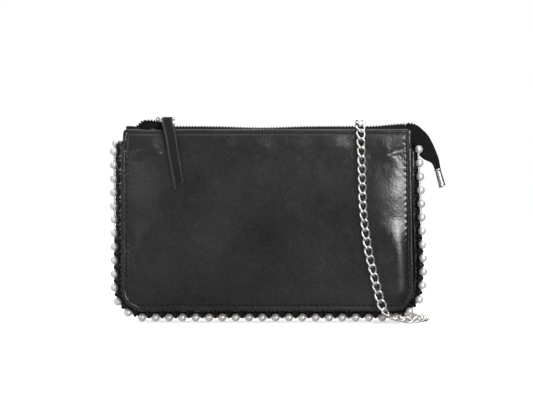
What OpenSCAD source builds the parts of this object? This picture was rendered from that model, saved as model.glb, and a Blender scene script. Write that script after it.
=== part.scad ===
// Flat zip-top clutch with a bead-trimmed gusset and a detachable chain strap.
// Millimetres, +Z up, +X to the wearer's right, front panel facing -Y.
// The origin is under the middle of the bottom row of beads.

/* [Panels] */
// Width of the front and back panels
panel_w = 203; // [190:1:215]
// Height of the panels' top edge above the floor
panel_top = 134.5; // [125:0.5:140]
// Height at which the panels start to lean in towards the zip
lean_z = 120; // [112:1:122]
// Radius of the panels' lower corners
corner_r = 15; // [12:0.5:20]
// Half thickness of the wallet over the leather
half_t = 11.4; // [10.5:0.1:13]
// Thickness of the leather
leather = 1.4; // [1:0.1:1.6]

/* [Bead trim] */
// Diameter of one bead
bead_d = 5.5; // [4.5:0.1:6]
// Distance between bead centres along the trim
bead_pitch = 9.51; // [8:0.01:9.55]
// How far the bead row stands outside the panel's edge
bead_reach = 5.7; // [5.4:0.1:6.5]
// Number of beads
bead_count = 46; // [40:2:46]
// How far the row of beads is shifted along the trim, to the right
bead_shift = 0.7; // [-2:0.1:2]
// Spacing of the beads round the corners, as a share of the pitch
corner_spread = 1.1; // [1:0.01:1.12]
// Spacing of the beads along the bottom, as a share of the pitch
bottom_spread = 0.98; // [0.95:0.01:1]
// Diameter of the rods between beads
rod_d = 1.3; // [0.8:0.1:1.8]

/* [Zip] */
// Height of the top of the teeth
teeth_top = 136.8; // [136.5:0.1:137]
// Pitch of the teeth
tooth_pitch = 2.3; // [2:0.1:3]
// Centre of the slider along the zip
slider_x = -71.5; // [-72:0.5:-68]
// Length of the slider
slider_l = 13.5; // [11:0.5:14]
// Width of the leather pull
pull_w = 7.5; // [6:0.1:7.8]

/* [Chain strap] */
// Diameter of the plain tube that stands for the chain's links
chain_d = 4; // [3:0.1:4]
// Distance of each strap ring from the middle
ring_x = 84; // [80:1:88]
// Diameter of the ring wire
ring_wire = 1.6; // [1.2:0.1:1.8]

/* [Hidden] */
$fn = 48;

half_w = panel_w / 2;
corner_x = half_w - corner_r;            // centre of the lower corners
bead_r = bead_d / 2;
bead_path_r = corner_r + bead_reach;
corner_z = bead_path_r + bead_r;         // beads just touch z = 0
panel_low = corner_z - corner_r;
gusset_top = 121.4;
skin = half_t - leather;                 // inner face of the panels
top_y = 5.5;                             // outer face at the panels' top edge
lean = (half_t - top_y) / (panel_top - lean_z);
top_in = top_y - leather;

board_t = 0.6;
lining_t = 0.4;
gap = 0.1;                               // between layers of one wallet
run = 0.3;                               // between pieces that move past each other

black = [0.06, 0.06, 0.065];
cloth = [0.12, 0.12, 0.13];
silver = [0.8, 0.8, 0.82];

// ---- shared outlines ----

// Rectangle with round lower corners, shrunk by inset, in the XZ plane.
module outline(inset, top) {
  r = corner_r - inset;
  w = corner_x;
  translate([-half_w + inset, corner_z]) square([panel_w - 2 * inset, top - corner_z]);
  translate([-w, corner_z - r]) square([2 * w, r + 1]);
  for (s = [-1, 1]) translate([s * w, corner_z]) circle(r = r, $fn = 96);
}

// A plate that follows the outline, from y0 to y1.
module plate(y0, y1, inset, top) {
  translate([0, y1, 0]) rotate([90, 0, 0]) linear_extrude(y1 - y0) outline(inset, top);
}

// A YZ profile run along X.
module along_x(x0, x1) {
  translate([x0, 0, 0]) rotate([90, 0, 90]) linear_extrude(x1 - x0) children();
}

// An XZ profile run along Y.
module along_y(y0, y1) {
  translate([0, y1, 0]) rotate([90, 0, 0]) linear_extrude(y1 - y0) children();
}

// A (reach, y) section run down one side, round both corners and up the other.
// Reach is counted from the corners' centres.
module around(section, top) {
  for (s = [0, 1]) mirror([s, 0, 0]) {
    translate([corner_x, 0, corner_z]) linear_extrude(top - corner_z) polygon(section);
    translate([corner_x, 0, corner_z]) rotate([90, 0, 0]) rotate([0, 0, -90])
      rotate_extrude(angle = 90, $fn = 96) polygon([for (p = section) [p[0], -p[1]]]);
  }
  translate([-corner_x, 0, corner_z]) rotate([0, 90, 0])
    linear_extrude(2 * corner_x) polygon(section);
}

// ---- leather body ----

module panel() {
  intersection() {
    along_x(-half_w, half_w) polygon([
      [half_t, panel_low - 1], [half_t, lean_z], [top_y, panel_top],
      [top_in, panel_top], [skin, lean_z], [skin, panel_low - 1]
    ]);
    plate(0, half_t + 1, 0, panel_top);
  }
}

module front_panel() color(black) mirror([0, 1, 0]) panel();
module back_panel() color(black) panel();

// The strip between the panels bulges out to a ridge that carries the beads.
ridge = bead_path_r - bead_r - 0.05;
gusset_y = skin - gap;
gusset_t = 1.2;
module gusset() color(black) around([
  [corner_r - 0.4, -gusset_y], [corner_r + 1.2, -gusset_y + 1.4], [ridge - 0.3, -3], [ridge, 0],
  [ridge - 0.3, 3], [corner_r + 1.2, gusset_y - 1.4], [corner_r - 0.4, gusset_y],
  [corner_r - 1.6, gusset_y], [corner_r, gusset_y - 1.7], [ridge - 0.3 - gusset_t, 2.8],
  [ridge - 0.3 - gusset_t, -2.8], [corner_r, -gusset_y + 1.7], [corner_r - 1.6, -gusset_y]
], gusset_top);

board_y = skin - gap - board_t;
lining_y = board_y - gap - lining_t;
board_top = lean_z - 1;
module board() plate(board_y, board_y + board_t, 3, board_top);
module front_board() color("dimgray") mirror([0, 1, 0]) board();
module back_board() color("dimgray") board();

module lining() plate(lining_y, lining_y + lining_t, 3.5, board_top);
module front_lining() color(cloth) mirror([0, 1, 0]) lining();
module back_lining() color(cloth) lining();

lining_r = corner_r - 1.9;
module gusset_lining() color(cloth) around([
  [lining_r, -7.6], [lining_r + 1.4, -6.4], [lining_r + 2.4, 0], [lining_r + 1.4, 6.4],
  [lining_r, 7.6], [lining_r - 0.5, 7.2], [lining_r + 0.9, 6], [lining_r + 1.9, 0],
  [lining_r + 0.9, -6], [lining_r - 0.5, -7.2]
], board_top);

// Open-topped slip pocket sewn to the back lining.
pocket_w = 150;
pocket_h = 80;
pocket_z = 22;
module slip_pocket() color(cloth)
  translate([-pocket_w / 2, lining_y - gap - lining_t, pocket_z]) cube([pocket_w, lining_t, pocket_h]);

// ---- bead trim ----

corner_s = corner_x / bottom_spread;     // from the middle to the start of a corner
side_s = corner_s + PI / 2 * bead_path_r / corner_spread;

// Point on the bead row at distance s from the middle, to the right for s > 0. The beads
// are a little closer together along the bottom and further apart round the corners.
function bead_at(s) =
  let (d = abs(s), side = s < 0 ? -1 : 1,
       a = (d - corner_s) * corner_spread / bead_path_r * 180 / PI)
  d <= corner_s ? [side * d * bottom_spread, 0, bead_r]
  : d <= side_s ? [side * (corner_x + bead_path_r * sin(a)), 0, corner_z - bead_path_r * cos(a)]
  : [side * (corner_x + bead_path_r), 0, corner_z + d - side_s];

// One last bead is tucked in above the left end of the row.
tucked_bead = [-105.8, 2, 124.6];
bead_points = concat([tucked_bead],
  [for (i = [0:bead_count - 1]) bead_at((i - (bead_count - 1) / 2) * bead_pitch + bead_shift)]);

module beads() color(silver) for (p = bead_points) translate(p) sphere(bead_r, $fn = 24);

module rod(a, b) {
  d = b - a;
  translate(a) rotate([0, atan2(norm([d[0], d[1]]), d[2]), atan2(d[1], d[0])])
    cylinder(h = norm(d), d = rod_d, $fn = 16);
}

module bead_rods() color(silver) for (i = [0:bead_count - 1]) {
  a = bead_points[i];
  b = bead_points[i + 1];
  u = (b - a) / norm(b - a);
  rod(a + u * (bead_r - 0.2), b - u * (bead_r - 0.2));
}

// ---- zip ----

tooth_h = 2.2;
tooth_low = teeth_top - tooth_h;
tooth_in = 0.55;                         // each row's tips stop this far from the middle
tape_in = 2.2;
tape_z = tooth_low + 0.6;
tape_t = 0.8;
tape_foot = 124.5;
zip_left = slider_x - slider_l / 2 - run;
zip_right = 96;

// Half breadth of the tape's outer face at height z, just inside the panel.
function tape_out(z) = top_in - 0.2 + (panel_top - z) * lean;

module tape() along_x(-half_w + 3, zip_right) polygon([
  [tape_in, tape_z], [tape_in, tape_z + tape_t], [tape_out(tape_z + tape_t), tape_z + tape_t],
  [tape_out(tape_foot), tape_foot], [tape_out(tape_foot) - 0.85, tape_foot],
  [tape_out(tape_z) - 0.85, tape_z]
]);
module zip_tape_front() color(black) mirror([0, 1, 0]) tape();
module zip_tape_back() color(black) tape();

module teeth_row(shift) {
  translate([zip_left, tape_in - 0.7, tooth_low + 0.4]) cube([zip_right - zip_left, 0.7, tooth_h - 0.8]);
  for (x = [zip_left + shift:tooth_pitch:zip_right - 1.6])
    translate([x, tooth_in, tooth_low]) cube([1.5, tape_in - tooth_in, tooth_h]);
}
module zip_teeth_front() color(black) mirror([0, 1, 0]) teeth_row(0.2);
module zip_teeth_back() color(black) teeth_row(0.2 + tooth_pitch / 2);

plate_half = slider_l / 2;
upper_z = teeth_top + run;
upper_t = 1.3;
upper_top = upper_z + upper_t;
upper_y = 4.4;
lower_y = 2.7;

// Behind the slider each loose tape end curls up and back down to the panel's corner.
loose_x = zip_left - gap;
module loose_end() along_y(tooth_in, tape_in - gap) polygon([
  [loose_x, tooth_low + 0.2], [loose_x, teeth_top], [loose_x - 4, 139.4], [loose_x - 8, 141],
  [loose_x - 12, 140.6], [loose_x - 16, 137.8], [loose_x - 19, 136.2], [loose_x - 19, 136.1],
  [loose_x - 4, 136.1], [loose_x - 2, tooth_low + 0.9]
]);
// The front one also bulges out and runs on in front of the slider.
flare_in = upper_y + run;
flare_out = flare_in + 0.9;
module zip_loose_end_front() color(black) mirror([0, 1, 0]) {
  loose_end();
  along_y(tape_in - 0.5, flare_out) polygon([
    [loose_x - 6, 136.1], [loose_x - 6, 139.6], [loose_x - 0.2, 139.4], [loose_x - 0.2, 136.1]
  ]);
  along_y(flare_in, flare_out) polygon([
    [loose_x - 6, 136.1], [loose_x - 6, 139.6], [-74.5, 139.2], [-72.6, 138.4], [-72.6, 136.1]
  ]);
}
module zip_loose_end_back() color(black) loose_end();

// The closed end of the zip passes between the panels' ends, is folded double and
// hangs over the right side behind the beads.
tail_in = 0.7;
tail_mid = 3.8;
tail_y0 = 3.1;
tail_y1 = 6.1;
fold_x = half_w + run;
module tail_shape() polygon([
  [zip_right + gap, 138.2], [100, 137.9], [104.5, 136.6], [108, 133.8], [111.7, 129.9],
  [115.3, 123.6], [117.5, 118.2], [119.3, 112.9], [121, 105], [117.3, 104.2], [115.3, 110.2],
  [111.7, 112], [109.5, 113.8], [106.8, 117], [106.3, 127.2], [zip_right + gap, 127.2]
]);
module zip_tail() color(black) {
  along_y(tail_in, tail_mid) intersection() {
    tail_shape();
    translate([zip_right, 127]) square([fold_x + 4 - zip_right, 12]);
  }
  along_y(tail_y0, tail_y1) difference() {
    tail_shape();
    translate([zip_right, 127]) square([fold_x - zip_right, 12]);
  }
}

cap_l = 13.6;
cap_tilt = 16;
module zip_end_cap() color(silver)
  translate([118.5, (tail_y0 + tail_y1) / 2, 106.6]) rotate([0, -cap_tilt, 0])
    translate([0, 0, -cap_l]) difference() {
      cylinder(h = cap_l, d = 5);
      for (s = [-1, 1]) translate([s * 4 - 1.5, -3, -1]) cube([3, 6, 2.2]);
    }

// ---- slider and pull ----

module slider_body() color(silver) {
  translate([slider_x - plate_half, -upper_y, upper_z]) cube([slider_l, 2 * upper_y, upper_t]);
  for (s = [0, 1]) mirror([0, s, 0])
    translate([slider_x - plate_half, upper_y - 0.8, upper_z - 0.7]) cube([slider_l, 0.8, 0.8]);
  translate([slider_x - plate_half, -lower_y, tooth_low - run - upper_t])
    cube([slider_l, 2 * lower_y, upper_t]);
  translate([slider_x - plate_half, -run, tooth_low - run - 0.1])
    cube([4, 2 * run, tooth_h + 2 * run + 0.2]);
}

pin_z = 142;
pin_r = 0.6;
pull_x = -69.8;
lug_w = 3.4;
// A low bar on the slider with a post for the pin and a rounded horn at its closed end.
module slider_crown() color(silver) difference() {
  union() {
    along_x(pull_x - lug_w / 2, pull_x + lug_w / 2) {
      translate([-1.6, upper_top]) square([3.2, pin_z - upper_top]);
      translate([0, pin_z]) circle(r = 1.6);
    }
    along_y(-1.5, 1.5) polygon([
      [pull_x, upper_top], [pull_x, 139.8], [-75.3, 139.8], [-75.3, 142.2], [-76, 142.9],
      [-77.3, 142.7], [-78, 141.4], [-78, upper_top]
    ]);
  }
  along_x(pull_x - lug_w, pull_x + lug_w) translate([0, pin_z]) circle(r = pin_r);
  along_y(-2, 2) translate([-76.7, 141.2]) circle(r = 0.6);
}

pin_l = 10.1;
module pull_pin() color(silver)
  along_x(pull_x - pin_l / 2, pull_x + pin_l / 2) translate([0, pin_z]) circle(r = pin_r);

// A stirrup: two eyes on the pin, two arms and a crossbar that holds the leather pull.
arm_x = 4.1;
arm_t = 0.8;
bar_y = -8;
bar_z = 141.2;
bar_r = 0.65;
module pull_bail() color(silver) {
  difference() {
    for (s = [0, 1]) translate([pull_x, 0, 0]) mirror([s, 0, 0])
      along_x(arm_x, arm_x + arm_t) {
        translate([0, pin_z]) circle(r = 1.5);
        polygon([[0, pin_z + 0.8], [0, pin_z - 0.8], [bar_y, bar_z - 0.8], [bar_y, bar_z + 0.8]]);
        translate([bar_y, bar_z]) circle(r = 0.8);
      }
    along_x(pull_x - pin_l, pull_x + pin_l) translate([0, pin_z]) circle(r = pin_r + 0.06);
  }
  along_x(pull_x - arm_x - 0.2, pull_x + arm_x + 0.2) translate([bar_y, bar_z]) circle(r = bar_r);
}

// Leather folded double over the crossbar. It leans and ends in a slanting cut.
pull_in = bar_r + 0.2;
pull_out = pull_in + 1.1;
module pull_strap() color(black) intersection() {
  along_x(-80, -50) difference() {
    union() {
      translate([bar_y, bar_z]) circle(r = pull_out);
      polygon([
        [bar_y + 0.2, bar_z - 1.2], [-9.4, 134], [-13.7, 121], [-13.8, 88],
        [-15.8, 88], [-15.7, 121.5], [-11.4, 134.6], [bar_y - pull_out + 0.1, bar_z]
      ]);
    }
    translate([bar_y, bar_z]) circle(r = pull_in);
  }
  along_y(-20, 0) polygon([
    [pull_x - pull_w / 2, 144], [pull_x + pull_w / 2, 144], [pull_x + pull_w / 2, 139.4],
    [-58.7, 95.9], [-64.9, 90.6], [pull_x - pull_w / 2, 139.4]
  ]);
}

// ---- strap rings and clasps, drawn on the right and mirrored ----

tab_y0 = half_t + gap;
tab_y1 = tab_y0 + 1.4;
tab_w = 12;
ring_y = 16.2;
ring_z = 107;                            // the ring's straight bar
ring_half = 5.5;                         // centre line of the ring
ring_leg = 4;
ring_low = ring_z - ring_leg - ring_half;
wire_r = ring_wire / 2;
loop_w = 7;

// A leather tab riveted to the back, with a fold at its foot that holds the ring.
module tab() translate([ring_x, 0, 0]) difference() {
  union() {
    translate([-tab_w / 2, tab_y0, ring_z - 1]) cube([tab_w, tab_y1 - tab_y0, lean_z - ring_z]);
    along_x(-loop_w / 2, loop_w / 2) {
      translate([ring_y, ring_z]) circle(r = wire_r + 1.3);
      translate([tab_y0, ring_z]) square([ring_y - tab_y0, wire_r + 1.3]);
    }
  }
  along_x(-loop_w, loop_w) translate([ring_y, ring_z]) circle(r = wire_r + 0.1);
  translate([0, tab_y1 + 1, 114]) rotate([90, 0, 0]) cylinder(h = 3, r = 1);
}

module rivet() translate([ring_x, 0, 114]) rotate([-90, 0, 0]) {
  translate([0, 0, tab_y0]) cylinder(h = tab_y1 - tab_y0 + 0.2, r = 1);
  translate([0, 0, tab_y1]) cylinder(h = 0.8, r1 = 2.4, r2 = 1.6);
}

module ring() translate([ring_x, ring_y, ring_z]) {
  rotate([0, 90, 0]) translate([0, 0, -ring_half]) cylinder(h = 2 * ring_half, r = wire_r, $fn = 24);
  for (s = [-1, 1]) translate([s * ring_half, 0, 0]) {
    sphere(wire_r, $fn = 24);
    translate([0, 0, -ring_leg]) cylinder(h = ring_leg, r = wire_r, $fn = 24);
  }
  translate([0, 0, -ring_leg]) rotate([90, 0, 0]) rotate([0, 0, 180])
    rotate_extrude(angle = 180, $fn = 64) translate([ring_half, 0]) circle(r = wire_r, $fn = 24);
}

// Trigger clasp: a hook in the YZ plane whose outer side is closed by a sprung gate.
hook_in = 2;
hook_out = 3.2;
hook_w = 2.6;
hook_z = ring_low + 0.8 + 0.6 - hook_in;
gate_pin_y = 2.5;
gate_pin_z = -8.2;
eye_z = -12.4;
module clasp() translate([ring_x, ring_y, hook_z]) {
  difference() {
    along_x(-hook_w / 2, hook_w / 2) {
      difference() {
        circle(r = hook_out);
        circle(r = hook_in);
        translate([-4, -5]) square([8, 5]);
      }
      translate([-hook_out, -9]) square([hook_out - hook_in, 9]);
      translate([hook_in, -0.9]) square([hook_out - hook_in, 0.9]);
      translate([-hook_out, -10.6]) square([hook_out + 4, 3]);
    }
    translate([-0.85, 0.9, -11]) cube([1.7, 4, 4.5]);
    along_x(-2, 2) translate([gate_pin_y, gate_pin_z]) circle(r = 0.5, $fn = 24);
  }
  along_x(-0.8, 0.8) difference() {
    union() {
      translate([0, eye_z]) circle(r = 2.3);
      translate([-2, -10.7]) square([2.8, 1.4]);
      translate([-1.2, eye_z + 1.5]) square([2, 2]);
    }
    translate([0, eye_z]) circle(r = 1.3, $fn = 32);
  }
}

module gate() translate([ring_x, ring_y, hook_z]) along_x(-0.6, 0.6) difference() {
  union() {
    translate([gate_pin_y, gate_pin_z]) circle(r = 1.15, $fn = 32);
    translate([hook_in, gate_pin_z + 0.8]) square([1.2, -2 - gate_pin_z]);
    polygon([[3.1, -5.4], [4.3, -6.2], [4.3, -6.9], [3.1, -7.4]]);
  }
  translate([gate_pin_y, gate_pin_z]) circle(r = 0.56, $fn = 24);
}

module gate_pin() translate([ring_x, ring_y, hook_z])
  along_x(-hook_w / 2, hook_w / 2) translate([gate_pin_y, gate_pin_z]) circle(r = 0.5, $fn = 24);

jump_r = 3.2;
jump_wire = 0.6;
jump_top = hook_z + eye_z - 0.3;
jump_low = jump_top - 2 * jump_r;
module jump_ring() translate([ring_x, ring_y, jump_top - jump_r]) rotate([90, 0, 0])
  rotate_extrude($fn = 64) translate([jump_r, 0]) circle(r = jump_wire, $fn = 16);

module left() mirror([1, 0, 0]) children();
module right_tab() color(black) tab();
module left_tab() color(black) left() tab();
module right_rivet() color(silver) rivet();
module left_rivet() color(silver) left() rivet();
module right_ring() color(silver) ring();
module left_ring() color(silver) left() ring();
module right_clasp() color(silver) clasp();
module left_clasp() color(silver) left() clasp();
module right_gate() color(silver) gate();
module left_gate() color(silver) left() gate();
module right_gate_pin() color(silver) gate_pin();
module left_gate_pin() color(silver) left() gate_pin();
module right_jump_ring() color(silver) jump_ring();
module left_jump_ring() color(silver) left() jump_ring();

// ---- chain strap ----

near_y = 26;                             // hank: the two runs nearer the wallet
inner_y = 35;
hank_x = 40;                             // centres of the hank's round ends
left_r = 23;
far_y = near_y + 2 * left_r;
right_r = (far_y - inner_y) / 2;

// From the right clasp down the back, round the corner on the floor, up the front,
// over the zip, down the back and into the hank.
route_right = [
  [84, 16.2, 78], [84, 16.2, 60], [84, 16.2, 40], [84, 16.2, 24], [85, 16.6, 14],
  [89, 18.5, 6], [96, 21.5, 2.2], [101.5, 21, 2.1], [106.8, 17, 2.1], [110, 10, 2.1],
  [109.5, 2, 2.1], [105.8, -7, 2.1], [99.5, -13.5, 2.1], [93, -16, 2.8], [85, -16.4, 4.4],
  [79.3, -16.2, 12], [75.6, -16, 25], [73, -16, 36], [69.7, -16, 50], [67.1, -15.9, 68],
  [65.6, -15.8, 85], [65.1, -15.8, 104], [64.6, -15.6, 118], [64.2, -13.6, 128],
  [64.2, -8.5, 136.4], [64.2, 0, 139.7], [64.3, 8.5, 136.4], [64.6, 13.6, 128], [65, 15.6, 118],
  [65, 16, 100], [65, 16, 80], [65, 16, 60], [65, 16, 40], [65, 16, 24], [64, 16.6, 13],
  [60, 18.8, 5.4], [53, 21.6, 2.2], [46, 24.6, 2.1], [40.1, 26, 2.1]
];
// From the hank's inner run over its round end and up the back to the left clasp.
route_left = [
  [-40.1, 35, 2.1], [-48, 35, 4.6], [-57, 34.5, 7.2], [-66, 31, 5.8], [-74, 26, 3.6],
  [-80.5, 20.5, 6.4], [-83.5, 17, 14], [-84, 16.2, 24], [-84, 16.2, 40], [-84, 16.2, 60],
  [-84, 16.2, 78]
];

function unit(v) = v / norm(v);
function tangents(p) = [for (i = [0:len(p) - 1])
  unit(p[min(i + 1, len(p) - 1)] - p[max(i - 1, 0)])];

sides = 8;
// A closed tube swept along p. side_dir is never parallel to the route.
module tube(p, d, side_dir) {
  t = tangents(p);
  function ring_at(i) = let (u = unit(cross(t[i], side_dir(t[i]))), v = cross(t[i], u))
    [for (k = [0:sides - 1]) p[i] + d / 2 * (u * cos(360 * k / sides) + v * sin(360 * k / sides))];
  n = len(p);
  polyhedron(
    points = [for (i = [0:n - 1]) each ring_at(i)],
    faces = concat(
      [[for (k = [0:sides - 1]) sides - 1 - k]],
      [for (i = [0:n - 2], k = [0:sides - 1]) let (q = (k + 1) % sides)
        [i * sides + k, i * sides + q, (i + 1) * sides + q, (i + 1) * sides + k]],
      [[for (k = [0:sides - 1]) (n - 1) * sides + k]]
    )
  );
}

module chain_run_right() color(silver) tube(route_right, chain_d, function (t) [0.95, 0.3, 0.1]);
module chain_run_left() color(silver) tube(route_left, chain_d, function (t) [0.3, 0.95, 0.1]);

hank_h = 4.1;
hank_half = 3.5;                         // half the width of the chain's links
module chain_hank() color(silver) linear_extrude(hank_h) difference() {
  union() {
    translate([-hank_x, near_y - hank_half]) square([2 * hank_x, far_y - near_y + 2 * hank_half]);
    translate([-hank_x, (near_y + far_y) / 2]) circle(r = left_r + hank_half, $fn = 96);
    translate([hank_x, (inner_y + far_y) / 2]) circle(r = right_r + hank_half, $fn = 96);
  }
}

tie_w = 9;
module chain_tie() color(black) translate([-tie_w / 2, 0, 0]) difference() {
  translate([0, near_y - hank_half - 1, 0]) cube([tie_w, inner_y - near_y + 2 * hank_half + 2, hank_h + 1]);
  translate([-1, near_y - hank_half, -1]) cube([tie_w + 2, inner_y - near_y + 2 * hank_half + 3, hank_h + 1]);
}

front_panel();
back_panel();
gusset();
front_board();
back_board();
front_lining();
back_lining();
gusset_lining();
slip_pocket();
beads();
bead_rods();
zip_tape_front();
zip_tape_back();
zip_teeth_front();
zip_teeth_back();
zip_loose_end_front();
zip_loose_end_back();
zip_tail();
zip_end_cap();
slider_body();
slider_crown();
pull_pin();
pull_bail();
pull_strap();
left_tab();
left_rivet();
left_ring();
left_clasp();
left_gate();
left_gate_pin();
left_jump_ring();
right_tab();
right_rivet();
right_ring();
right_clasp();
right_gate();
right_gate_pin();
right_jump_ring();
chain_run_right();
chain_hank();
chain_run_left();
chain_tie();
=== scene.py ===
import math
import random

import bpy
import numpy as np
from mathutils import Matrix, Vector, noise


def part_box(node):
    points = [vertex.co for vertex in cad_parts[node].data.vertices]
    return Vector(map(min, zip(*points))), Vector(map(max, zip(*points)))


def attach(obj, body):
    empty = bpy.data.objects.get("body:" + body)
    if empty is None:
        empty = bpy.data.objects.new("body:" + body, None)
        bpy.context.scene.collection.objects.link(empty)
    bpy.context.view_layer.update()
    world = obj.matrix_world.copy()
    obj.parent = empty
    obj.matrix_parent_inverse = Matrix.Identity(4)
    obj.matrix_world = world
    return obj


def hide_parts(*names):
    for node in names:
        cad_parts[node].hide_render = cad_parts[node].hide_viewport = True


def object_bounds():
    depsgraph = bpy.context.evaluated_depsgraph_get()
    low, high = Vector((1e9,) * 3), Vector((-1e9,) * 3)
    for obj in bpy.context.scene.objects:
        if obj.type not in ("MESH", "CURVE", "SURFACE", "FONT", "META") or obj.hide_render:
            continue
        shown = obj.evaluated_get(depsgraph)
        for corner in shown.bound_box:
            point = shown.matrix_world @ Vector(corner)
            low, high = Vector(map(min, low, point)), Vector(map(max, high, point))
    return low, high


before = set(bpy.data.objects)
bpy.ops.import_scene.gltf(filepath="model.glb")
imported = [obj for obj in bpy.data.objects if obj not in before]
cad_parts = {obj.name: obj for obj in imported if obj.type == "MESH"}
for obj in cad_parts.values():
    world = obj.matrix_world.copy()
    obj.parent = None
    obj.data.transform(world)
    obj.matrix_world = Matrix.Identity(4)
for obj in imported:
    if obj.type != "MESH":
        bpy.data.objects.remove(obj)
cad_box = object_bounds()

MM = 0.001
random.seed(7)

# ---------------------------------------------------------------- camera

LENS_MM = 154.0
SENSOR_MM = 36.0
VIEW_WIDTH = 0.369          # what the frame spans at the front panel
ELEVATION = math.radians(3.0)
AIM = Vector((-0.00098, -0.012, 0.0856))


def make_camera():
    """The photograph's view: a long lens in front, a little above the wallet's middle."""
    distance = LENS_MM / SENSOR_MM * VIEW_WIDTH
    data = bpy.data.cameras.new("camera")
    data.lens = LENS_MM
    data.sensor_width = SENSOR_MM
    data.clip_start, data.clip_end = 0.05, 50.0
    cam = bpy.data.objects.new("camera", data)
    back = Vector((0.0, -math.cos(ELEVATION), math.sin(ELEVATION)))
    cam.location = AIM + back * distance
    cam.rotation_mode = "QUATERNION"
    cam.rotation_quaternion = (-back).to_track_quat("-Z", "Y")
    bpy.context.collection.objects.link(cam)
    bpy.context.scene.camera = cam


make_camera()

# ---------------------------------------------------------------- mesh helpers


def add_object(name, verts, faces, material=None, smooth=True):
    """A mesh object in the scene."""
    mesh = bpy.data.meshes.new(name)
    mesh.from_pydata([tuple(v) for v in verts], [], [tuple(f) for f in faces])
    mesh.validate()
    if smooth:
        mesh.polygons.foreach_set("use_smooth", [True] * len(mesh.polygons))
    obj = bpy.data.objects.new(name, mesh)
    bpy.context.collection.objects.link(obj)
    if material is not None:
        mesh.materials.append(material)
    return obj


def place(obj, body, slot, *nodes):
    """obj rides on a body and stands for the CAD nodes named. The slot argument is not used."""
    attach(obj, body)
    if nodes:
        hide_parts(*nodes)


def thicken(obj, thickness, offset=0.0):
    """Gives a sheet its thickness: on both sides, or inwards where offset is -1."""
    skin = obj.modifiers.new("thickness", "SOLIDIFY")
    skin.thickness = thickness
    skin.offset = offset


def grid_faces(rows, cols, wrap_cols=False, wrap_rows=False):
    """Quads of a grid of vertices stored row by row."""
    faces = []
    for i in range(rows if wrap_rows else rows - 1):
        for j in range(cols if wrap_cols else cols - 1):
            across = (j + 1) % cols
            below = ((i + 1) % rows) * cols
            faces.append((i * cols + j, i * cols + across, below + across, below + j))
    return faces


def tube_faces(rings, sides):
    """Quads of a tube of vertices stored ring by ring, with a cap at each end."""
    caps = [tuple(range(sides))[::-1], tuple(range((rings - 1) * sides, rings * sides))]
    return grid_faces(rings, sides, wrap_cols=True) + caps


def smoothstep(lo, hi, x):
    """0 below lo, 1 above hi and a smooth step between."""
    t = np.clip((x - lo) / (hi - lo), 0.0, 1.0)
    return t * t * (3 - 2 * t)


def unit(v):
    return v / np.linalg.norm(v)


def spline_points(route, steps):
    """Catmull-Rom curve through a route, as an array of points."""
    p = np.array(route, float)
    n = len(p)
    out = []
    for i in range(n - 1):
        a, b, c, d = p[max(i - 1, 0)], p[i], p[i + 1], p[min(i + 2, n - 1)]
        for k in range(steps):
            t = k / steps
            out.append((2 * b + (c - a) * t + (2 * a - 5 * b + 4 * c - d) * t * t
                        + (3 * b - a - 3 * c + d) * t ** 3) / 2)
    out.append(p[-1])
    return np.array(out)


def resample(points, pitch):
    """Points at equal steps of arc length, and the length of one step."""
    seg = np.linalg.norm(np.diff(points, axis=0), axis=1)
    s = np.concatenate([[0.0], np.cumsum(seg)])
    count = max(2, int(round(s[-1] / pitch)) + 1)
    at = np.linspace(0.0, s[-1], count)
    return np.stack([np.interp(at, s, points[:, k]) for k in range(3)], axis=1), s[-1]


# ---------------------------------------------------------------- materials


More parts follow.
